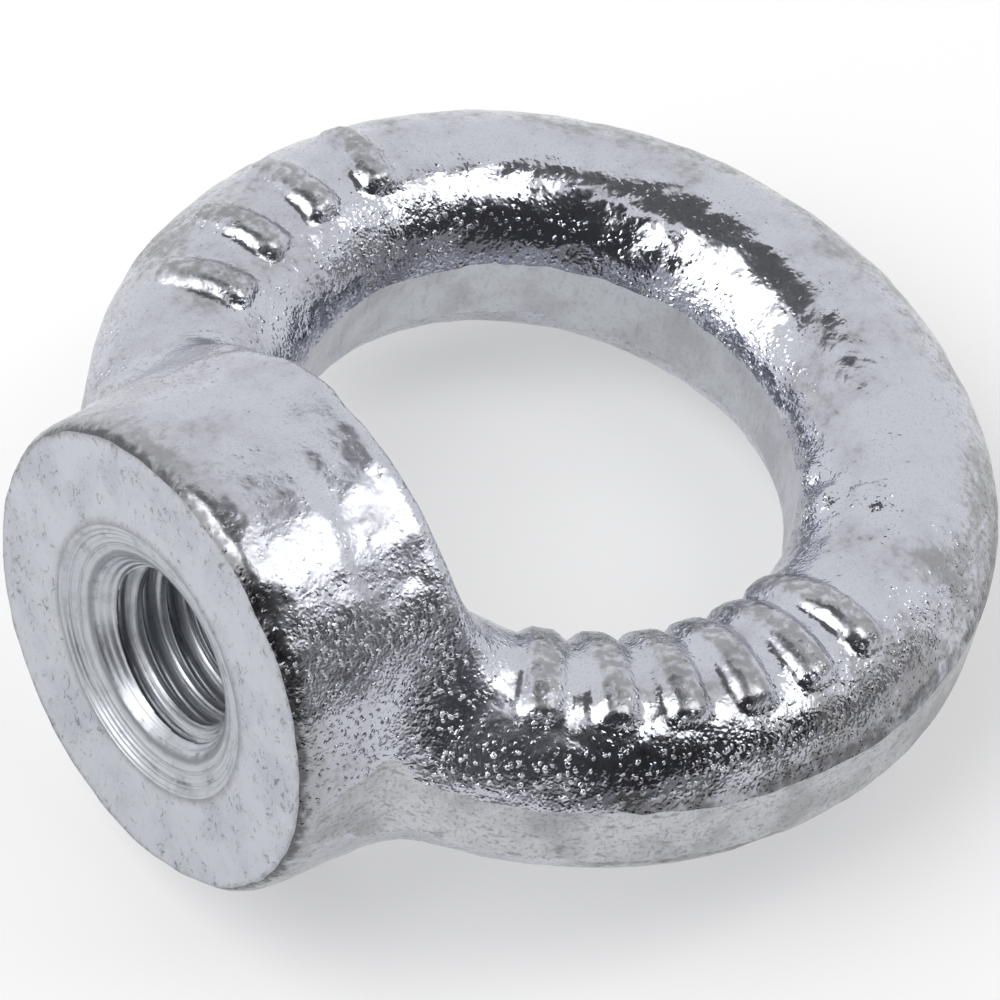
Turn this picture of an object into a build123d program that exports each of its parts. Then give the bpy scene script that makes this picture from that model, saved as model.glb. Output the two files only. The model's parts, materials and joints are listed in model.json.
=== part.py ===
from build123d import *
import math
import os

# Lifting eye nut, forged in one piece, lying on its side as it comes to rest.
# It is built with the thread axis along +X, the seat face at X = 0 and the eye's
# axis along Z, and then laid down. All sizes are in millimetres.

# Boss: a short barrel turned round the thread axis
seat_diameter = 25.0         # faced seat, against the lifted load
boss_length = 11.0           # seat face to the back of the barrel
draft_widening = 1.3         # how much wider the barrel is at its back
side_trim = 0.05             # how deep the flash trim bites into the barrel's sides
seat_edge_radius = 0.9
back_edge_radius = 1.4

# Ring: a round bar bent to a circle, trimmed outside and punched inside
bar_diameter = 11.2
ring_diameter = 46.8         # across the trimmed outside
eye_diameter = 26.0          # punched eye
ring_setback = 1.5           # from the seat face to the nearest point of the ring's outline

# Blends that the forging die leaves
flank_radius = 4.5           # between the barrel and the bar
notch_radius = 1.5           # corner of the trimmed outline, beside the barrel

# Thread: M10 x 1.5, drawn as its minor diameter
thread_diameter = 10.0
thread_pitch = 1.5
thread_depth_factor = 1.0825 # twice the internal thread's height, in pitches
mouth_diameter = 14.3        # shallow countersink in the seat face
mouth_angle = 140.0
lead_out_diameter = 10.6     # 90 degree countersink where the bore meets the eye

# Worked out from the sizes above
seat_radius = seat_diameter / 2
back_radius = seat_radius + draft_widening / 2
boss_width = seat_diameter - 2 * side_trim          # in the plane of the ring
bar_radius = bar_diameter / 2
eye_radius = eye_diameter / 2
minor_radius = (thread_diameter - thread_depth_factor * thread_pitch) / 2
ring_radius = (ring_diameter + eye_diameter) / 4    # middle line of the bar
eye_height = ring_setback + ring_diameter / 2       # seat face to the middle of the eye
eye_wall = eye_height - eye_radius                  # where the bore meets the eye
reach = ring_diameter + seat_diameter               # longer than any cut needs


def boss_blank():
    """The barrel before it is trimmed, with both of its edges rounded."""
    seat_corner = (0, seat_radius)
    back_corner = (boss_length, back_radius)
    half = make_face(Polyline((0, 0), seat_corner, back_corner, (boss_length, 0), close=True))
    corners = half.vertices().sort_by(Axis.Y)[-2:].sort_by(Axis.X)
    half = fillet(corners[0], seat_edge_radius)
    half = fillet(half.vertices().sort_by(Axis.Y)[-1], back_edge_radius)
    return revolve(half, Axis.X)


def ring_blank():
    """The bar bent round the eye, still fully round."""
    return Pos(eye_height, 0, 0) * Torus(ring_radius, bar_radius)


def forging_blank():
    """Barrel and bar in one, with the flanks between them blended."""
    boss = boss_blank()
    ring = ring_blank()
    blank = boss + ring
    return fillet(new_edges(boss, ring, combined=blank), flank_radius)


def trim_outline():
    """The outline that the flash is trimmed to, seen along the eye's axis."""
    ring_disc = Pos(eye_height, 0) * Circle(ring_diameter / 2)
    boss_strip = Pos(eye_height / 2, 0) * Rectangle(eye_height, boss_width)
    outline = ring_disc + boss_strip
    notches = outline.vertices().group_by(Axis.X)[-1]
    return fillet(notches, notch_radius)


def trimmed(blank):
    """The blank trimmed round its outline and punched through the eye."""
    body = blank & extrude(trim_outline(), reach, both=True)
    eye = Pos(eye_height, 0, 0) * Cylinder(eye_radius, reach)
    return body - eye


def thread_bore():
    """The bore at the thread's minor diameter, open to both sides."""
    half_angle = math.radians(mouth_angle / 2)
    mouth_depth = (mouth_diameter / 2 - minor_radius) / math.tan(half_angle)
    lead_out = lead_out_diameter / 2 - minor_radius
    outline = Polyline(
        (0, 0),
        (0, mouth_diameter / 2),
        (mouth_depth, minor_radius),
        (eye_wall - lead_out, minor_radius),
        (eye_wall, lead_out_diameter / 2),
        (eye_height, lead_out_diameter / 2),
        (eye_height, 0),
        close=True,
    )
    return revolve(make_face(outline), Axis.X)


def rest_tilt():
    """Degrees that the thread axis leans when boss and ring both touch the ground."""
    along = eye_height + ring_radius - (boss_length - back_edge_radius)
    down = back_radius - back_edge_radius
    apart = math.hypot(along, down)
    lean = math.atan2(down, along) - math.asin((bar_radius - back_edge_radius) / apart)
    return math.degrees(lean)


def laid_down(body):
    """The part turned to rest on the ground, centred over the origin."""
    body = Rot(0, rest_tilt(), 0) * body
    box = body.bounding_box()
    return Pos(-box.center().X, -box.center().Y, -box.min.Z) * body


eye_nut = laid_down(trimmed(forging_blank()) - thread_bore())

os.makedirs("parts", exist_ok=True)
export_step(eye_nut, "parts/eye_nut.step")
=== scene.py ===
import itertools
import json
import math

import bmesh
import bpy
import numpy as np
from mathutils import Matrix, Vector


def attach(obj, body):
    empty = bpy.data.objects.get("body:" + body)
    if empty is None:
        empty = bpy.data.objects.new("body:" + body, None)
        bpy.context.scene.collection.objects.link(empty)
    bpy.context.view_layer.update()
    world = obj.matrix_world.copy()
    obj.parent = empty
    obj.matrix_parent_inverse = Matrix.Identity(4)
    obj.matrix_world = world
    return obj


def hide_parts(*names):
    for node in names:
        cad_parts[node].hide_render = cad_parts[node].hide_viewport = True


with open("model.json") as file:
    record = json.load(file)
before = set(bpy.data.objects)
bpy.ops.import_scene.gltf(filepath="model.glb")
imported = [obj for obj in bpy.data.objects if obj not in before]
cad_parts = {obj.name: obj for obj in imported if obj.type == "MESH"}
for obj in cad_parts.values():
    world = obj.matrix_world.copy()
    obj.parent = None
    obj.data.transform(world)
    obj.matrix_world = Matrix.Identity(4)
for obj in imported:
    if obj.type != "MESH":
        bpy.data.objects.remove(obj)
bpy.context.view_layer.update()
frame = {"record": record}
scene = bpy.context.scene
scene.view_settings.view_transform = "Standard"

# The forging's own frame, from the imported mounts: X runs from the seat face into the
# barrel, Z is the eye's axis, and the origin is the middle of the seat face. Lengths
# there are in millimetres. The finished piece is turned and scaled into the row's frame.
mounts = {mount["name"]: mount for mount in frame["record"]["mounts"]}
eyeCentre = Vector(mounts["eye"]["pos_m"])
boltAxis = -Vector(mounts["thread"]["axis"]).normalized()
eyeAxis = Vector(mounts["eye"]["axis"]).normalized()
seatDepth = (eyeCentre - Vector(mounts["seat"]["pos_m"])).dot(boltAxis)
perMetre = 1000
forgingFrame = (Matrix.Translation(eyeCentre - boltAxis * seatDepth)
                @ Matrix((boltAxis, eyeAxis.cross(boltAxis), eyeAxis)).transposed().to_4x4()
                @ Matrix.Scale(1 / perMetre, 4))

eyeHeight = seatDepth * perMetre                    # seat face to the middle of the eye
eyeRadius = mounts["eye"]["dims"]["r_mm"]
minorRadius = mounts["thread"]["dims"]["r_mm"]


def say(stage):
    print("stage:", stage)


# Camera, where the photographer stood: high, to the left and in front
camera = {
    "place": (-0.12114, -0.15209, 0.29378),         # metres
    "turn": (34.317, -0.487, -37.65),               # degrees
    "lens": 245.3,                                  # mm
    "sensor": 36,                                   # mm
}


def setCamera(spec):
    data = bpy.data.cameras.new("camera")
    data.lens = spec["lens"]
    data.sensor_width = spec["sensor"]
    data.clip_start = 0.01
    eye = bpy.data.objects.new("camera", data)
    eye.location = spec["place"]
    eye.rotation_euler = [math.radians(angle) for angle in spec["turn"]]
    scene.collection.objects.link(eye)
    scene.camera = eye


# Colours and nodes
def colour(code):
    parts = [int(code[i:i + 2], 16) / 255 for i in (1, 3, 5)]
    linear = [part / 12.92 if part <= 0.04045 else ((part + 0.055) / 1.055) ** 2.4 for part in parts]
    return (*linear, 1)


def addNode(tree, kind, inputs=None, **settings):
    # inputs holds plain values and sockets to link, by the input's name or number.
    # What comes back are the node's outputs.
    made = tree.nodes.new("ShaderNode" + kind)
    for name, value in settings.items():
        setattr(made, name, value)
    for name, value in (inputs or {}).items():
        if isinstance(value, bpy.types.NodeSocket):
            tree.links.new(value, made.inputs[name])
        else:
            made.inputs[name].default_value = value
    return made.outputs


def newMaterial(name):
    material = bpy.data.materials.new(name)
    material.use_nodes = True
    material.node_tree.nodes.clear()
    return material, material.node_tree


# Meshes
def meshPiece(name, points, faces, material=None):
    mesh = bpy.data.meshes.new(name)
    mesh.from_pydata([tuple(point) for point in points], [], [tuple(face) for face in faces])
    mesh.update()
    if material:
        mesh.materials.append(material)
    piece = bpy.data.objects.new(name, mesh)
    scene.collection.objects.link(piece)
    return piece


def pointsOf(mesh):
    flat = np.empty(len(mesh.vertices) * 3)
    mesh.vertices.foreach_get("co", flat)
    return flat.reshape(-1, 3)


def setPoints(mesh, points):
    mesh.vertices.foreach_set("co", points.ravel())
    mesh.update()


def applyModifiers(piece):
    graph = bpy.context.evaluated_depsgraph_get()
    done = bpy.data.meshes.new_from_object(piece.evaluated_get(graph))
    piece.modifiers.clear()
    old = piece.data
    piece.data = done
    bpy.data.meshes.remove(old)


# Noise from -1 to 1 on a lattice, the same on every run: a hash of sines at each corner
def noise(points, size, seed):
    cell = np.floor(points / size)
    part = points / size - cell
    part = part ** 3 * (part * (part * 6 - 15) + 10)
    total = np.zeros(len(points))
    for corner in itertools.product((0, 1), repeat=3):
        mixed = np.sin((cell + corner) @ (12.9898, 78.233, 37.719) + seed * 4.137) * 43758.5453
        value = 2 * (mixed - np.floor(mixed)) - 1
        total += value * np.where(corner, part, 1 - part).prod(axis=1)
    return total


def smoothStep(value, start, end):
    part = np.clip((value - start) / (end - start), 0, 1)
    return part * part * (3 - 2 * part)


# The forged blank, as a distance field in millimetres that is negative inside the steel
blank = {
    "voxel": 0.275,
    "ringMiddle": 18.2,                             # radius of the bar's middle line
    "barRadius": 5.6,
    "seatRadius": 12.5,
    "backRadius": 13.13,
    "barrelLength": 10.7,
    "backEdge": 1.2,
    "seatEdge": 1.4,
    "innerBlend": 5.0,                              # towards the eye
    "outerBlend": 1.7,                              # towards the trimmed outline
    "blendChange": 1.5,                             # either side of the bar's middle line
    "facingStock": 0.45,                            # turned off the seat
}


def softUnion(a, b, width):
    near = np.maximum(width - np.abs(a - b), 0) / width
    return np.minimum(a, b) - near * near * width / 4


def roundedCorner(a, b, radius):
    a = a + radius
    b = b + radius
    return np.minimum(np.maximum(a, b), 0) + np.hypot(np.maximum(a, 0), np.maximum(b, 0)) - radius


def blankField(points):
    x, y, z = points.T
    offset = np.hypot(x - eyeHeight, y) - blank["ringMiddle"]
    bar = np.hypot(offset, z) - blank["barRadius"]
    draft = (blank["backRadius"] - blank["seatRadius"]) / blank["barrelLength"]
    side = (np.hypot(y, z) - blank["seatRadius"] - draft * np.clip(x, 0, None)) / math.hypot(1, draft)
    barrel = roundedCorner(side, x - blank["barrelLength"], blank["backEdge"])
    barrel = np.maximum(barrel, roundedCorner(side, -x - blank["facingStock"], blank["seatEdge"]))
    outward = 1 / (1 + np.exp(-offset / blank["blendChange"]))
    blend = blank["innerBlend"] * (1 - outward) + blank["outerBlend"] * outward
    return softUnion(bar, barrel, blend)


# What hammer, die and zinc bath leave on the skin, as sizes and heights in millimetres
relief = {
    "sink": 0.10,                                   # keeps the lumps inside the sound form
    "lumps": ((6.0, 0.05), (2.2, 0.05), (0.9, 0.04)),
    "dents": (3.6, 0.22),                           # left by the hammer on top of the barrel
    "dentsAbove": (7.0, 10.5),                      # over the bore's axis, none to all
    "dentsWhere": (-0.1, 0.7),                      # of the noise, none to deepest
}

# Plain raised bars across the crown of the ring: one row on each limb
bars = {
    "height": 0.48,
    "width": 1.8,
    "corner": 0.5,
    "shoulder": 0.45,                               # either side of a bar's outline
    "rows": (
        # degrees round the eye, and the span round the bar's section
        {"first": -131, "step": 10.5, "count": 6, "span": (66, 150)},
        {"first": 124, "step": -13, "count": 4, "span": (54, 108)},
    ),
}

# Small wrinkled runs of zinc
runs = {
    "height": 0.45,
    "places": ((-50, 109), (-38, 148), (-49, 141)),  # degrees round the eye and round the section
    "radii": (1.5, 1.9, 1.6),
    "flatTop": 0.3,                                 # of the radius
    "wrinkle": (1.0, 0.625, 1.0),                   # size, along X, Y and Z
    "creased": 0.6,                                 # of the height
    "creaseWhere": (-0.4, 0.4),                     # of the noise, deepest to none
}


def markHeight(points):
    x, y, z = points.T
    offset = np.hypot(x - eyeHeight, y) - blank["ringMiddle"]
    around = np.degrees(np.arctan2(y, x - eyeHeight))
    across = np.degrees(np.arctan2(z, offset))
    height = np.zeros(len(points))
    for row in bars["rows"]:
        low, high = row["span"]
        for k in range(row["count"]):
            turned = np.radians(around - row["first"] - row["step"] * k)
            sideways = np.abs(turned) * (blank["ringMiddle"] + offset) - bars["width"] / 2
            lengthways = np.radians(np.maximum(low - across, across - high)) * blank["barRadius"]
            outside = roundedCorner(sideways, lengthways, bars["corner"])
            mark = smoothStep(-outside, -bars["shoulder"], bars["shoulder"])
            height = np.maximum(height, bars["height"] * mark)
    return height


def runHeight(points):
    crease = smoothStep(noise(points / runs["wrinkle"], 1.0, 11), *runs["creaseWhere"])
    crease = 1 - runs["creased"] + runs["creased"] * crease
    height = np.zeros(len(points))
    for (around, across), radius in zip(runs["places"], runs["radii"]):
        a, c = math.radians(around), math.radians(across)
        middle = blank["ringMiddle"] + blank["barRadius"] * math.cos(c)
        centre = (eyeHeight + middle * math.cos(a), middle * math.sin(a), blank["barRadius"] * math.sin(c))
        away = np.linalg.norm(points - centre, axis=1)
        mound = smoothStep(-away, -radius, -runs["flatTop"] * radius)
        height = np.maximum(height, runs["height"] * crease * mound)
    return height


def skinHeight(points):
    height = np.full(len(points), -relief["sink"])
    for seed, (size, tall) in enumerate(relief["lumps"]):
        height += tall * noise(points, size, seed)
    size, deep = relief["dents"]
    onTop = smoothStep(points[:, 2], *relief["dentsAbove"])
    height -= onTop * deep * smoothStep(noise(points, size, 7), *relief["dentsWhere"])
    return height + runHeight(points) + markHeight(points)


def skinField(points):
    return blankField(points) - skinHeight(points)


def slopeOf(field, points, step=0.02):
    slope = np.empty_like(points)
    for axis in range(3):
        shift = np.zeros(3)
        shift[axis] = step
        slope[:, axis] = (field(points + shift) - field(points - shift)) / (2 * step)
    return slope


def settle(points, field, rounds):
    # each round takes the points nearly onto the field's surface
    gentlest = 0.3                                  # a smaller square of the slope isn't trusted
    for _ in range(rounds):
        slope = slopeOf(field, points)
        steepness = np.maximum((slope ** 2).sum(axis=1), gentlest)
        points = points - (field(points) / steepness)[:, None] * slope
    return points


def relax(points, edges, share=0.6):
    # moves each point a share of the way to the middle of its neighbours, along the surface
    total = np.zeros_like(points)
    count = np.zeros(len(points))
    for a, b in ((0, 1), (1, 0)):
        count += np.bincount(edges[:, a], minlength=len(points))
        for axis in range(3):
            total[:, axis] += np.bincount(edges[:, a], points[edges[:, b], axis], len(points))
    move = total / count[:, None] - points
    normal = slopeOf(blankField, points)
    normal /= np.linalg.norm(normal, axis=1)[:, None]
    return points + share * (move - (move * normal).sum(axis=1)[:, None] * normal)


def forgedBlank(material):
    bpy.ops.mesh.primitive_torus_add(major_radius=blank["ringMiddle"], minor_radius=blank["barRadius"],
                                     major_segments=96, minor_segments=40, location=(eyeHeight, 0, 0))
    ring = bpy.context.object
    length = blank["barrelLength"] + blank["facingStock"]
    bpy.ops.mesh.primitive_cylinder_add(vertices=96, radius=blank["seatRadius"], depth=length,
                                        location=(length / 2 - blank["facingStock"], 0, 0),
                                        rotation=(0, math.pi / 2, 0))
    piece = bpy.context.object
    ring.select_set(True)
    piece.select_set(True)
    bpy.ops.object.join()
    piece.data.transform(piece.matrix_world)
    piece.matrix_world = Matrix.Identity(4)
    remesh = piece.modifiers.new("remesh", "REMESH")
    remesh.mode = "VOXEL"
    remesh.voxel_size = blank["voxel"]
    applyModifiers(piece)
    points = settle(pointsOf(piece.data), blankField, rounds=4)
    edges = np.empty(len(piece.data.edges) * 2, int)
    piece.data.edges.foreach_get("vertices", edges)
    for _ in range(6):
        points = relax(points, edges.reshape(-1, 2))
    points = settle(points, blankField, rounds=1)
    setPoints(piece.data, settle(points, skinField, rounds=3))
    piece.data.materials.clear()
    piece.data.materials.append(material)
    piece.name = "eyeNut"
    return piece


# Press and lathe work: each tool is a closed form that is cut out of the blank
tools = {
    "trimRadius": 23.4,                             # outline left by the flash trim
    "trimHalfWidth": 12.45,                         # across the barrel
    "notchRadius": 1.5,
    "mouthRadius": 7.15,
    "mouthSlope": 0.364,                            # depth for each mm of radius, a 140 degree cone
    "chamferRadius": 5.35,                          # 90 degree chamfer ahead of the thread
    "turningStep": 0.27,                            # feed marks in the mouth
    "turningDepth": 0.085,
    "turningUneven": 0.4,                           # of that depth, from mark to mark
    "majorRadius": 5.0,                             # M10
    "pitch": 1.5,
    "leadOut": 5.3,
    "segments": 160,
}


def lathe(name, outline, material, segments, axis="X"):
    # a closed turned form: outline holds (along, radius) and starts and ends on the axis
    inner = outline[1:-1]
    angles = np.linspace(0, 2 * math.pi, segments, endpoint=False)
    points = [(outline[0][0], 0, 0), (outline[-1][0], 0, 0)]
    points += [(along, radius * math.cos(angle), radius * math.sin(angle))
               for along, radius in inner for angle in angles]
    faces = []
    for s in range(segments):
        t = (s + 1) % segments
        faces.append((0, 2 + t, 2 + s))
        for row in range(len(inner) - 1):
            a = 2 + row * segments
            faces.append((a + s, a + t, a + segments + t, a + segments + s))
        last = 2 + (len(inner) - 1) * segments
        faces.append((last + s, last + t, 1))
    if axis == "Z":
        points = [(eyeHeight + y, z, x) for x, y, z in points]
    return meshPiece(name, points, faces, material)


def facingTool(material):
    front, wide = -3, 20                            # clear of the blank
    return lathe("facing", [(front, 0), (front, wide), (0, wide), (0, 0)], material, 8)


def punchTool(material):
    reach = 9                                       # clear of the ring, above and below
    outline = [(-reach, 0), (-reach, eyeRadius), (reach, eyeRadius), (reach, 0)]
    return lathe("punch", outline, material, 240, "Z")


def trimTool(material):
    # the outline in the plane of the ring: the ring's arc, two notch corners and the barrel's
    # sides. The tool is a wall that stands on that outline and reaches out to a larger copy.
    big, half, notch = tools["trimRadius"], tools["trimHalfWidth"], tools["notchRadius"]
    cornerY = half + notch
    cornerX = eyeHeight - math.sqrt((big + notch) ** 2 - cornerY ** 2)
    towards = math.atan2(cornerY, cornerX - eyeHeight)
    arc = [(eyeHeight + big * math.cos(angle), big * math.sin(angle))
           for angle in np.linspace(-towards, towards, 220)]
    turn = np.linspace(towards - math.pi, -math.pi / 2, 8)[1:]
    corner = [(cornerX + notch * math.cos(angle), cornerY + notch * math.sin(angle)) for angle in turn]
    outline = arc + corner + [(x, half) for x in (2, -1, -4)]
    outline += [(x, -half) for x in (-4, -1, 2)] + [(x, -y) for x, y in reversed(corner)]
    count = len(outline)
    larger, tall = 2.2, 15
    points = []
    for reach in (1, larger):
        for z in (-tall, tall):
            points += [(eyeHeight + reach * (x - eyeHeight), reach * y, z) for x, y in outline]
    faces = []
    low, high, farLow, farHigh = (k * count for k in range(4))
    for s in range(count):
        t = (s + 1) % count
        faces.append((low + s, high + s, high + t, low + t))
        faces.append((farLow + s, farLow + t, farHigh + t, farHigh + s))
        faces.append((low + s, low + t, farLow + t, farLow + s))
        faces.append((high + s, farHigh + s, farHigh + t, high + t))
    return meshPiece("trim", points, faces, material)


def mouthTool(material):
    outermost, innermost = tools["mouthRadius"] + 3, 0.5
    front = -4                                      # clear of the seat
    perTurn = 6                                     # points across each feed mark
    rows = []
    radius = outermost
    while radius > innermost:
        depth = (tools["mouthRadius"] - radius) * tools["mouthSlope"]
        depth += max(tools["chamferRadius"] - radius, 0) * (1 - tools["mouthSlope"])
        mark = radius / tools["turningStep"]
        uneven = tools["turningUneven"] * (math.sin(37 * math.floor(mark)) - 1)
        ridge = (1 + uneven) * (1 - math.cos(2 * math.pi * mark)) / 2
        rows.append((depth + tools["turningDepth"] * ridge, radius))
        radius -= tools["turningStep"] / perTurn
    outline = [(front, 0), (front, outermost)] + rows + [(rows[-1][0] + 0.1, 0)]
    return lathe("mouth", outline, material, tools["segments"])


def leadOutTool(material):
    wide = tools["leadOut"]
    end = eyeHeight - eyeRadius
    back = end - (wide - minorRadius)
    beyond = 4                                      # on into the eye at the same 45 degrees
    outline = [(back - 1, 0), (back, minorRadius - 0.01), (end, wide)]
    outline += [(end + beyond, wide + beyond), (end + beyond, 0)]
    return lathe("leadOut", outline, material, tools["segments"])


def threadDepth(share):
    # depth of the groove at a share of the pitch, with 60 degree flanks and flats P/8 and P/4
    full = tools["majorRadius"] - minorRadius
    fromRoot = abs((share + 0.5) % 1 - 0.5) * tools["pitch"] - tools["pitch"] / 16
    return min(max(full - fromRoot * math.tan(math.radians(60)), 0), full)


def tapTool(material):
    segments, rows = 96, 16                         # points round a turn, and rows in a pitch
    start, turns = -4, 13                           # mm from the seat, and how many from there
    ending = 2                                      # turns in which the groove runs out
    points = []
    total = turns * rows
    for row in range(total + 1):
        along = row / rows
        for s in range(segments):
            turned = along + s / segments
            fade = min(max(turned - 0.5, 0), ending, max(turns - turned, 0)) / ending
            radius = minorRadius + threadDepth(along) * fade
            angle = 2 * math.pi * s / segments
            x = start + turned * tools["pitch"]
            points.append((x, radius * math.cos(angle), radius * math.sin(angle)))
    faces = []
    for row in range(total):
        for s in range(segments - 1):
            a = row * segments + s
            faces.append((a, a + 1, a + segments + 1, a + segments))
    for row in range(total - rows):
        a = row * segments + segments - 1
        b = (row + rows) * segments
        faces.append((a, b, b + segments, a + segments))
    # the first turn's start and the last turn's end close against the axis
    top = total * segments
    first = [row * segments for row in range(rows, -1, -1)] + list(range(1, segments))
    last = [top + s for s in range(segments)]
    last += [(row + 1) * segments - 1 for row in range(total - 1, total - rows - 1, -1)]
    points += [(start - 3, 0, 0), (start + (turns + 4) * tools["pitch"], 0, 0)]
    for loop, apex in ((first, len(points) - 2), (last, len(points) - 1)):
        faces += [(loop[k], loop[(k + 1) % len(loop)], apex) for k in range(len(loop))]
    return meshPiece("tap", points, faces, material)


def cutBlank(piece, cutters):
    folder = bpy.data.collections.new("tools")
    scene.collection.children.link(folder)
    for cutter in cutters:
        scene.collection.objects.unlink(cutter)
        folder.objects.link(cutter)
        form = bmesh.new()
        form.from_mesh(cutter.data)
        bmesh.ops.recalc_face_normals(form, faces=form.faces)
        form.to_mesh(cutter.data)
        form.free()
    cut = piece.modifiers.new("cut", "BOOLEAN")
    cut.operation = "DIFFERENCE"
    cut.operand_type = "COLLECTION"
    cut.collection = folder
    cut.solver = "MANIFOLD"
    cut.material_mode = "TRANSFER"
    applyModifiers(piece)
    for cutter in cutters:
        bpy.data.objects.remove(cutter)
    bpy.data.collections.remove(folder)


def finishPiece(piece):
    # The edges between two surfaces stay crisp. For its materials the mesh keeps the forging's
    # own coordinates, in millimetres, and where the bars and the runs of zinc are.
    form = bmesh.new()
    form.from_mesh(piece.data)
    for face in form.faces:
        face.smooth = True
    for edge in form.edges:
        edge.smooth = len({face.material_index for face in edge.link_faces}) == 1
    form.to_mesh(piece.data)
    form.free()
    points = pointsOf(piece.data)
    place = piece.data.attributes.new("forging", "FLOAT_VECTOR", "POINT")
    place.data.foreach_set("vector", points.ravel())
    raised = piece.data.attributes.new("raised", "FLOAT", "POINT")
    raised.data.foreach_set("value", markHeight(points) / bars["height"])
    run = piece.data.attributes.new("run", "FLOAT", "POINT")
    run.data.foreach_set("value", runHeight(points) / runs["height"])
    piece.data.transform(forgingFrame)
    points = pointsOf(piece.data)
    points[:, 2] = np.maximum(points[:, 2], 0)      # it rests on the floor
    setPoints(piece.data, points)


# Materials. A mask is a pattern's low and high value, and then the amount at each of them.
def faded(tree, pattern, mask, share=None):
    # how much of something shows where, times a share that another pattern gives
    low, high, start, end = mask
    amount = addNode(tree, "MapRange", {"Value": pattern, "From Min": low, "From Max": high,
                                        "To Min": start, "To Max": end},
                     interpolation_type="SMOOTHSTEP")["Result"]
    if share is None:
        return amount
    return addNode(tree, "Math", {0: share, 1: amount}, operation="MULTIPLY")[0]


def stained(tree, paint, code, pattern, mask, share=None):
    # another colour over the paint, as far as the mask lets it show
    amount = faded(tree, pattern, mask, share)
    return addNode(tree, "Mix", {"Factor": amount, "A": paint, "B": colour(code)},
                   data_type="RGBA")["Result"]


def metal(tree, paint, roughness, height):
    # height is in millimetres
    bump = addNode(tree, "Bump", {"Height": height, "Distance": 1 / perMetre})
    shader = addNode(tree, "BsdfPrincipled", {"Base Color": paint, "Metallic": 1.0,
                                              "Roughness": roughness, "Normal": bump[0]})
    addNode(tree, "OutputMaterial", {"Surface": shader[0]})


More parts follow.
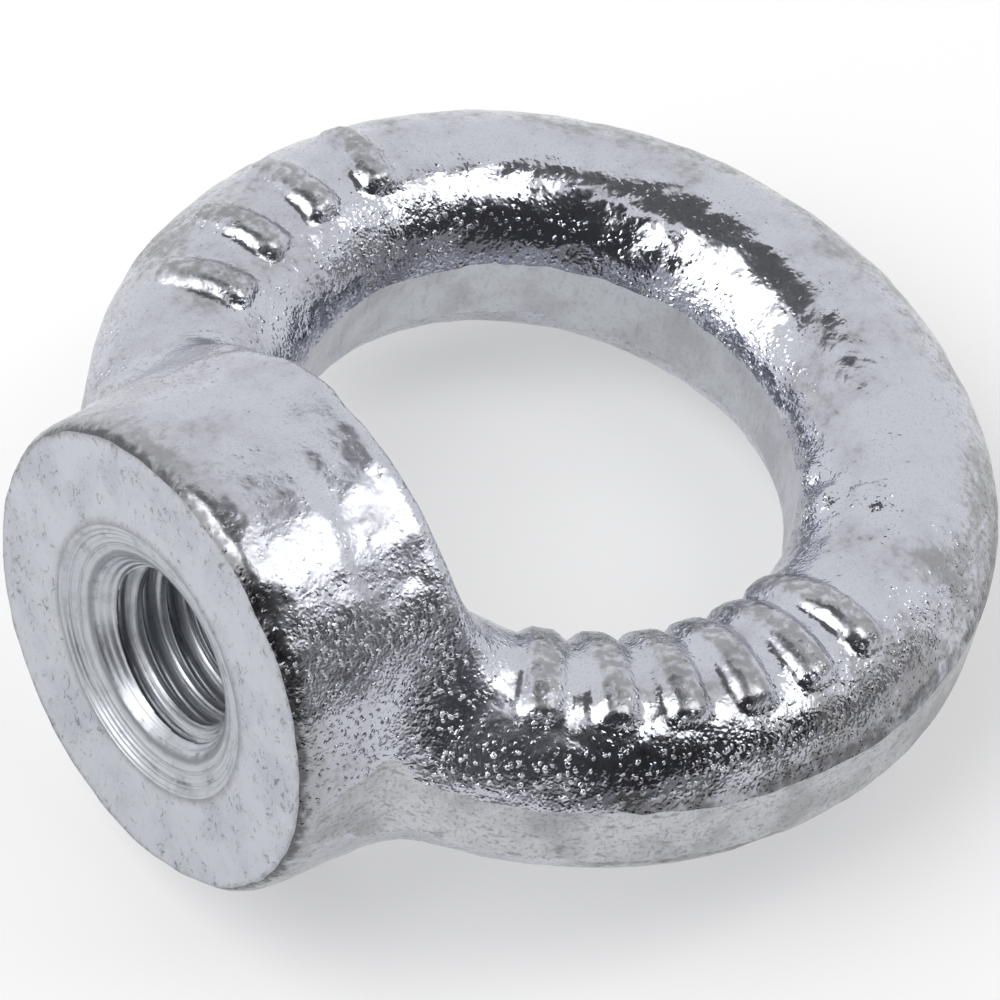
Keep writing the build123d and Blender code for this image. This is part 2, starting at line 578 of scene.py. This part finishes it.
def forgedSkin():
    # Hot-dip zinc on forged steel. The bath leaves fine beads, so it glitters where it
    # mirrors a lamp or the dark room, and looks like dull bluish grey where it mirrors the
    # pale surroundings. Painted shade darkens the rounded rim behind the faced seat and the trimmed edge,
    # and grime lies behind the rim.
    finish = {
        "zinc": "#C4C6CF",
        "dull": "#B3B4BC",
        "speck": "#6C6D70",
        # colour of the painted shade along the trimmed edge and the seat's rim
        "paintedEdgeShade": "#4A4A4D",
        "grime": "#8D8D8E",

        # relief, with sizes and heights in mm
        "waves": (1.3, 0.10),
        "frost": (0.16, 0.022),
        "beadSpacing": 0.31,
        "beadDome": (0.0, 0.54, 0.040, 0.0),        # by the distance from its middle, in spacings
        "beadShare": (0.15, 0.85, 0.3, 2.0),        # of that height, from bead to bead
        "pull": (0.25, 0.26),                       # size and reach of what draws beads out of round
        "calm": 7.0,                                # size of the areas with lower beads
        "calmShare": (0.40, 0.60, 0.5, 1.25),
        "topShare": (0.74, 0.93, 1.0, 0.2),         # the faces that look up drained best
        "onRuns": 1.0,                              # added on the runs of zinc

        # colour: sizes of its patterns in mm, and its masks
        "mottle": 4.0,
        "grain": 0.5,
        "pepper": 0.13,
        "dulled": (0.42, 0.68, 0.0, 1.0),
        "specks": (0.68, 0.78, 0.0, 0.8),
        "peppering": (0.50, 0.85, 0.0, 0.3),
        "patches": (0.70, 0.92, 0.0, 0.75),
        "grainInPatches": 0.25,
        "moreOutside": 0.26,                        # patches on the ring's outer side
        "outside": (19.0, 24.0, 0.0, 1.0),          # mm from the eye's axis
        "onRing": (11.0, 14.0, 0.0, 1.0),           # mm behind the seat
        "smears": (0.30, 0.58, 0.0, 0.75),          # on the raised bars

        # painted shade along the trimmed edge and the seat's rim, and grime behind the seat, in mm
        "ragged": 0.8,                              # adds about half of this to the next two masks
        "trimPaintedShade": (23.20, 23.65, 0.0, 0.8),       # painted shade under the trimmed edge's lip, by the distance from the eye's axis
        "rimPaintedShade": (0.50, 0.90, 0.8, 0.0),          # painted shade on the rounded rim, by the distance behind the seat
        "trimBreaks": (0.35, 0.60, 0.35, 1.0),      # by the mottle
        "rimUneven": (7.0, 4.0),                    # mm that mottle and grain add to the next one
        "rimGrime": (5.0, 8.2, 0.8, 0.0),

        "roughness": (0.3, 0.7, 0.10, 0.20),        # by the mottle
        "barrelSatin": (9.0, 15.0, 0.12, 0.0),      # added there, by the distance behind the seat
        "satinAbove": (0.45, 0.75, 0.0, 1.0),       # where the barrel looks up
        "barSatin": 0.10,                           # added on the raised bars
    }
    material, tree = newMaterial("hotDipZincOnForgedSteel")
    place = addNode(tree, "Attribute", attribute_name="forging")["Vector"]
    raised = addNode(tree, "Attribute", attribute_name="raised")["Fac"]
    run = addNode(tree, "Attribute", attribute_name="run")["Fac"]
    along = addNode(tree, "SeparateXYZ", {0: place})["X"]
    upward = addNode(tree, "SeparateXYZ", {0: addNode(tree, "NewGeometry")["Normal"]})["Z"]

    # waves under a crust of frost and beads
    size, tall = finish["waves"]
    waves = addNode(tree, "TexNoise", {"Vector": place, "Scale": 1 / size, "Detail": 2.0})["Fac"]
    waves = addNode(tree, "Math", {0: waves, 1: tall}, operation="MULTIPLY")[0]
    size, reach = finish["pull"]
    pulled = addNode(tree, "TexNoise", {"Vector": place, "Scale": 1 / size, "Detail": 1.0})["Color"]
    pulled = addNode(tree, "VectorMath", {0: pulled, 1: (reach,) * 3, 2: place},
                     operation="MULTIPLY_ADD")[0]
    cells = addNode(tree, "TexVoronoi", {"Vector": pulled, "Scale": 1 / finish["beadSpacing"]},
                    feature="F1")
    beads = faded(tree, cells["Distance"], finish["beadDome"])
    beads = faded(tree, cells["Color"], finish["beadShare"], beads)
    size, tall = finish["frost"]
    frost = addNode(tree, "TexNoise", {"Vector": place, "Scale": 1 / size, "Detail": 0.0})["Fac"]
    crust = addNode(tree, "Math", {0: frost, 1: tall, 2: beads}, operation="MULTIPLY_ADD")[0]
    calm = addNode(tree, "TexNoise", {"Vector": place, "Scale": 1 / finish["calm"], "Detail": 1.0})["Fac"]
    share = faded(tree, calm, finish["calmShare"])
    share = faded(tree, upward, finish["topShare"], share)
    share = addNode(tree, "Math", {0: run, 1: finish["onRuns"], 2: share}, operation="MULTIPLY_ADD")[0]
    height = addNode(tree, "Math", {0: crust, 1: share, 2: waves}, operation="MULTIPLY_ADD")[0]

    # dull areas, specks and pepper
    mottle = addNode(tree, "TexNoise", {"Vector": place, "Scale": 1 / finish["mottle"], "Detail": 4.0,
                                        "Roughness": 0.65})["Fac"]
    grain = addNode(tree, "TexNoise", {"Vector": place, "Scale": 1 / finish["grain"], "Detail": 3.0})["Fac"]
    pepper = addNode(tree, "TexNoise", {"Vector": place, "Scale": 1 / finish["pepper"],
                                        "Detail": 1.0})["Fac"]
    paint = stained(tree, colour(finish["zinc"]), finish["dull"], mottle, finish["dulled"])
    paint = stained(tree, paint, finish["speck"], grain, finish["specks"])
    paint = stained(tree, paint, finish["speck"], pepper, finish["peppering"])

    # grime in patches, more of it on the ring's outer side, and smeared over the bars
    fromEye = addNode(tree, "VectorMath", {0: place, 1: (-eyeHeight, 0, 0)}, operation="ADD")[0]
    fromEye = addNode(tree, "VectorMath", {0: fromEye, 1: (1, 1, 0)}, operation="MULTIPLY")[0]
    fromEye = addNode(tree, "VectorMath", {0: fromEye}, operation="LENGTH")["Value"]
    fromEye = addNode(tree, "Math", {0: grain, 1: finish["ragged"], 2: fromEye},
                      operation="MULTIPLY_ADD")[0]
    onRing = faded(tree, along, finish["onRing"])
    outer = faded(tree, fromEye, finish["outside"], onRing)
    patches = addNode(tree, "Math", {0: outer, 1: finish["moreOutside"], 2: mottle},
                      operation="MULTIPLY_ADD")[0]
    patches = addNode(tree, "Math", {0: grain, 1: finish["grainInPatches"], 2: patches},
                      operation="MULTIPLY_ADD")[0]
    paint = stained(tree, paint, finish["grime"], patches, finish["patches"])
    smears = addNode(tree, "Math", {0: grain, 1: raised}, operation="MULTIPLY")[0]
    paint = stained(tree, paint, finish["grime"], smears, finish["smears"])

    # a broken line of painted shade along the trimmed edge, grime behind the seat's rim, and painted shade
    # on the rim itself
    broken = faded(tree, mottle, finish["trimBreaks"], onRing)
    # painted shade: a dark broken line under the lip of the trimmed edge
    paint = stained(tree, paint, finish["paintedEdgeShade"], fromEye, finish["trimPaintedShade"], broken)
    byMottle, byGrain = finish["rimUneven"]
    behind = addNode(tree, "Math", {0: mottle, 1: byMottle, 2: along}, operation="MULTIPLY_ADD")[0]
    behind = addNode(tree, "Math", {0: grain, 1: byGrain, 2: behind}, operation="MULTIPLY_ADD")[0]
    paint = stained(tree, paint, finish["grime"], behind, finish["rimGrime"])
    rim = addNode(tree, "Math", {0: grain, 1: finish["ragged"], 2: along}, operation="MULTIPLY_ADD")[0]
    # painted shade: a dark line on the rounded rim just behind the faced seat
    paint = stained(tree, paint, finish["paintedEdgeShade"], rim, finish["rimPaintedShade"])

    # the barrel's top and the bars are a little duller
    satin = faded(tree, along, finish["barrelSatin"])
    satin = faded(tree, upward, finish["satinAbove"], satin)
    satin = addNode(tree, "Math", {0: raised, 1: finish["barSatin"], 2: satin}, operation="MULTIPLY_ADD")[0]
    roughness = faded(tree, mottle, finish["roughness"])
    roughness = addNode(tree, "Math", {0: satin, 1: roughness}, operation="ADD")[0]
    metal(tree, paint, roughness, height)
    return material


# Two sheared surfaces. Their streaks are given as how many there are in a mm, along X, Y and Z.
trimmedOutline = {
    "name": "zincOnTrimmedSteel",
    "streaks": (1.1, 1.1, 2.8),                     # round the outline
    "zinc": "#C2C3C7",
    "dull": "#A8A9AC",
    "wear": 0.75,
}
punchedEye = {
    "name": "zincOnPunchedSteel",
    "streaks": (2.8, 2.8, 0.7),                     # the way that the punch went
    "zinc": "#C8CBD1",
    "dull": "#BABCC1",
    "wear": 0.25,
}


def sheared(surface):
    # Zinc on a sheared edge: smooth and pale, with faint streaks and grey pepper
    finish = {
        "speck": "#828386",
        "mottle": 3.0,                              # mm
        "pepper": 0.22,                             # mm
        "dulled": (0.40, 0.66, 0.0, 1.0),
        "streaked": (0.56, 0.74, 0.0, surface["wear"]),
        "peppering": (0.48, 0.70, 0.0, surface["wear"]),
        "pepperHeight": 0.03,                       # mm
        "roughness": (0.3, 0.7, 0.30, 0.42),
    }
    material, tree = newMaterial(surface["name"])
    place = addNode(tree, "Attribute", attribute_name="forging")["Vector"]
    mottle = addNode(tree, "TexNoise", {"Vector": place, "Scale": 1 / finish["mottle"], "Detail": 6.0,
                                        "Roughness": 0.6})["Fac"]
    drawn = addNode(tree, "VectorMath", {0: place, 1: surface["streaks"]}, operation="MULTIPLY")[0]
    streaks = addNode(tree, "TexNoise", {"Vector": drawn, "Scale": 1.0, "Detail": 3.0})["Fac"]
    pepper = addNode(tree, "TexNoise", {"Vector": place, "Scale": 1 / finish["pepper"], "Detail": 3.0,
                                        "Roughness": 0.7})["Fac"]
    paint = stained(tree, colour(surface["zinc"]), surface["dull"], mottle, finish["dulled"])
    paint = stained(tree, paint, finish["speck"], streaks, finish["streaked"])
    paint = stained(tree, paint, finish["speck"], pepper, finish["peppering"])
    height = addNode(tree, "Math", {0: pepper, 1: finish["pepperHeight"]}, operation="MULTIPLY")[0]
    metal(tree, paint, faded(tree, mottle, finish["roughness"]), height)
    return material


def turnedSeat():
    # Zinc on a face turned in the lathe: flat, pale and dull, with pits and a grey line of
    # dirt round the mouth and along the rim
    finish = {
        "zinc": "#C6C8CF",
        "dull": "#BBBDC5",
        "pit": "#6C6D72",
        "mottle": 3.0,                              # mm
        "pitSize": 0.76,                            # mm
        "pitShape": (1, 1.7, 1.2),
        "pitDepth": 0.03,                           # mm
        "dulled": (0.40, 0.66, 0.0, 1.0),
        "pits": (0.665, 0.77, 0.0, 0.7),
        "mottleInPits": 0.22,
        "ragged": 1.2,                              # mm, adds about half of this to the two lines
        "mouthLine": (0.0, 0.60, 0.55, 0.0),        # mm outside the mouth
        "rimLine": (11.6, 12.2, 0.0, 0.6),          # mm from the axis
        "roughness": (0.3, 0.7, 0.40, 0.50),
    }
    material, tree = newMaterial("zincOnTurnedSteel")
    place = addNode(tree, "Attribute", attribute_name="forging")["Vector"]
    mottle = addNode(tree, "TexNoise", {"Vector": place, "Scale": 1 / finish["mottle"], "Detail": 6.0,
                                        "Roughness": 0.6})["Fac"]
    shaped = addNode(tree, "VectorMath", {0: place, 1: finish["pitShape"]}, operation="MULTIPLY")[0]
    pits = addNode(tree, "TexNoise", {"Vector": shaped, "Scale": 1 / finish["pitSize"], "Detail": 5.0,
                                      "Roughness": 0.8, "Distortion": 0.8})["Fac"]
    worn = addNode(tree, "Math", {0: mottle, 1: finish["mottleInPits"], 2: pits},
                   operation="MULTIPLY_ADD")[0]
    flat = addNode(tree, "VectorMath", {0: place, 1: (0, 1, 1)}, operation="MULTIPLY")[0]
    radius = addNode(tree, "VectorMath", {0: flat}, operation="LENGTH")["Value"]
    radius = addNode(tree, "Math", {0: pits, 1: finish["ragged"], 2: radius}, operation="MULTIPLY_ADD")[0]
    paint = stained(tree, colour(finish["zinc"]), finish["dull"], mottle, finish["dulled"])
    paint = stained(tree, paint, finish["pit"], worn, finish["pits"])
    lines = ((tools["mouthRadius"], finish["mouthLine"]), (0, finish["rimLine"]))
    for start, (low, high, *amounts) in lines:
        start += finish["ragged"] / 2
        paint = stained(tree, paint, finish["pit"], radius, (start + low, start + high, *amounts))
    height = addNode(tree, "Math", {0: pits, 1: -finish["pitDepth"]}, operation="MULTIPLY")[0]
    metal(tree, paint, faded(tree, mottle, finish["roughness"]), height)
    return material


def cutThread():
    # Zinc on a cut thread and its countersink: satin, drawn out in fine rings by the tools,
    # with more grey left in the turned grooves
    finish = {
        "zinc": "#BDC0C6",
        "dull": "#8E9297",
        "groove": "#55585C",
        "mottle": 1.5,                              # mm
        "ringWidth": 0.16,                          # mm
        "ringDepth": 0.05,                          # mm
        "ringSway": 0.4,                            # mottle in the rings, so that they come and go
        "dulled": (0.45, 0.75, 0.0, 0.7),
        "rings": (0.55, 0.72, 0.0, 0.7),
        "ragged": 0.5,                              # mm, of the line outside the chamfer
        "lineFrom": 0.1,                            # mm outside the chamfer
        "line": (0.05, 0.30, 0.6, 0.0),             # mm to either side of that
        "roughness": (0.3, 0.7, 0.32, 0.46),
    }
    material, tree = newMaterial("zincOnCutThread")
    place = addNode(tree, "Attribute", attribute_name="forging")["Vector"]
    mottle = addNode(tree, "TexNoise", {"Vector": place, "Scale": 1 / finish["mottle"], "Detail": 6.0,
                                        "Roughness": 0.7})["Fac"]
    flat = addNode(tree, "VectorMath", {0: place, 1: (0, 1, 1)}, operation="MULTIPLY")[0]
    radius = addNode(tree, "VectorMath", {0: flat}, operation="LENGTH")["Value"]
    along = addNode(tree, "SeparateXYZ", {0: place})["X"]
    sway = addNode(tree, "Math", {0: mottle, 1: finish["ringSway"]}, operation="MULTIPLY")[0]
    turned = addNode(tree, "CombineXYZ", {"X": along, "Y": radius, "Z": sway})[0]
    rings = addNode(tree, "TexNoise", {"Vector": turned, "Scale": 1 / (2 * finish["ringWidth"]),
                                       "Detail": 2.0})["Fac"]
    paint = stained(tree, colour(finish["zinc"]), finish["dull"], mottle, finish["dulled"])
    paint = stained(tree, paint, finish["groove"], rings, finish["rings"])
    middle = tools["chamferRadius"] + finish["ragged"] / 2 + finish["lineFrom"]
    line = addNode(tree, "Math", {0: mottle, 1: finish["ragged"], 2: radius}, operation="MULTIPLY_ADD")[0]
    line = addNode(tree, "Math", {0: line, 1: middle}, operation="SUBTRACT")[0]
    line = addNode(tree, "Math", {0: line}, operation="ABSOLUTE")[0]
    paint = stained(tree, paint, finish["groove"], line, finish["line"])
    height = addNode(tree, "Math", {0: rings, 1: -finish["ringDepth"]}, operation="MULTIPLY")[0]
    metal(tree, paint, faded(tree, mottle, finish["roughness"]), height)
    return material


# Studio: a white sweep and sky, one soft lamp at the left, one at the right, and cards for
# the room behind the photographer, which a polished surface shows
studio = {
    "floorSize": 6.0,
    "floorColour": "#CCCCCC",
    "floorGlow": 0.38,                              # added where the floor is seen or mirrored
    "sky": "#FFFFFF",
    "lampDistance": 0.6,
    "cardDistance": 0.72,
    "cardSteps": 24,
    "lamps": (
        {"name": "keyLamp", "azimuth": 162, "elevation": 54, "size": (0.36, 0.60), "radiance": 2.4},
        {"name": "fillLamp", "azimuth": -34, "elevation": 56, "size": (0.26, 0.28), "radiance": 2.2},
    ),
    "cards": (
        {"name": "darkRoom", "azimuth": (-163, -46), "elevation": (21, 80), "colour": "#4E4E52"},
        {"name": "roomFloor", "azimuth": (-165, -28), "elevation": (2, 21), "colour": "#B8B8BA"},
        {"name": "ceilingGap", "azimuth": (-5, 108), "elevation": (56, 88), "colour": "#848484"},
    ),
}


def direction(azimuth, elevation):
    a, e = math.radians(azimuth), math.radians(elevation)
    return Vector((math.cos(a) * math.cos(e), math.sin(a) * math.cos(e), math.sin(e)))


def addLamp(spec):
    data = bpy.data.lights.new(spec["name"], "AREA")
    data.shape = "RECTANGLE"
    data.size, data.size_y = spec["size"]
    data.energy = spec["radiance"] * math.pi * data.size * data.size_y
    lamp = bpy.data.objects.new(spec["name"], data)
    towards = direction(spec["azimuth"], spec["elevation"])
    lamp.location = towards * studio["lampDistance"]
    lamp.rotation_euler = towards.to_track_quat("Z", "Y").to_euler()
    scene.collection.objects.link(lamp)


def addCard(spec):
    # a curved card that only mirrors in the part: the camera doesn't see it
    material, tree = newMaterial(spec["name"])
    shader = addNode(tree, "BsdfDiffuse", {"Color": colour(spec["colour"])})
    addNode(tree, "OutputMaterial", {"Surface": shader[0]})
    steps = studio["cardSteps"]
    points, faces = [], []
    for elevation in np.linspace(*spec["elevation"], steps + 1):
        for azimuth in np.linspace(*spec["azimuth"], steps + 1):
            points.append(direction(azimuth, elevation) * studio["cardDistance"])
    for row in range(steps):
        for k in range(steps):
            a = row * (steps + 1) + k
            faces.append((a, a + 1, a + steps + 2, a + steps + 1))
    card = meshPiece(spec["name"], points, faces, material)
    card.visible_camera = False
    card.visible_shadow = False


def addFloor():
    half = studio["floorSize"] / 2
    corners = [(-half, -half, 0), (half, -half, 0), (half, half, 0), (-half, half, 0)]
    material, tree = newMaterial("whitePaperSweep")
    paper = addNode(tree, "BsdfDiffuse", {"Color": colour(studio["floorColour"])})
    rays = addNode(tree, "LightPath")
    seen = rays["Is Camera Ray"]
    for kind in ("Is Glossy Ray", "Is Transmission Ray"):
        seen = addNode(tree, "Math", {0: seen, 1: rays[kind]}, operation="MAXIMUM")[0]
    glow = addNode(tree, "Emission", {"Color": colour(studio["sky"]), "Strength": studio["floorGlow"]})
    none = addNode(tree, "Emission", {"Strength": 0.0})
    pick = addNode(tree, "MixShader", {0: seen, 1: none[0], 2: glow[0]})
    both = addNode(tree, "AddShader", {0: paper[0], 1: pick[0]})
    addNode(tree, "OutputMaterial", {"Surface": both[0]})
    material.cycles.emission_sampling = "NONE"
    floor = meshPiece("floor", corners, [(0, 1, 2, 3)], material)


def addSky():
    world = bpy.data.worlds.new("sky")
    world.use_nodes = True
    tree = world.node_tree
    tree.nodes.clear()
    glow = addNode(tree, "Background", {"Color": colour(studio["sky"]), "Strength": 1.0})
    addNode(tree, "OutputWorld", {"Surface": glow[0]})
    scene.world = world


setCamera(camera)
skin = forgedSkin()
outline = sheared(trimmedOutline)
land = sheared(punchedEye)
seat = turnedSeat()
bore = cutThread()
say("materials")
eyeNut = forgedBlank(skin)
say("forged blank")
cutBlank(eyeNut, [facingTool(seat), punchTool(land), trimTool(outline), mouthTool(bore),
                  leadOutTool(bore), tapTool(bore)])
say("faced, trimmed, punched and tapped")
finishPiece(eyeNut)
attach(eyeNut, "root")
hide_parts("eye_nut")
addFloor()
addSky()
for spec in studio["lamps"]:
    addLamp(spec)
for spec in studio["cards"]:
    addCard(spec)
say("studio")
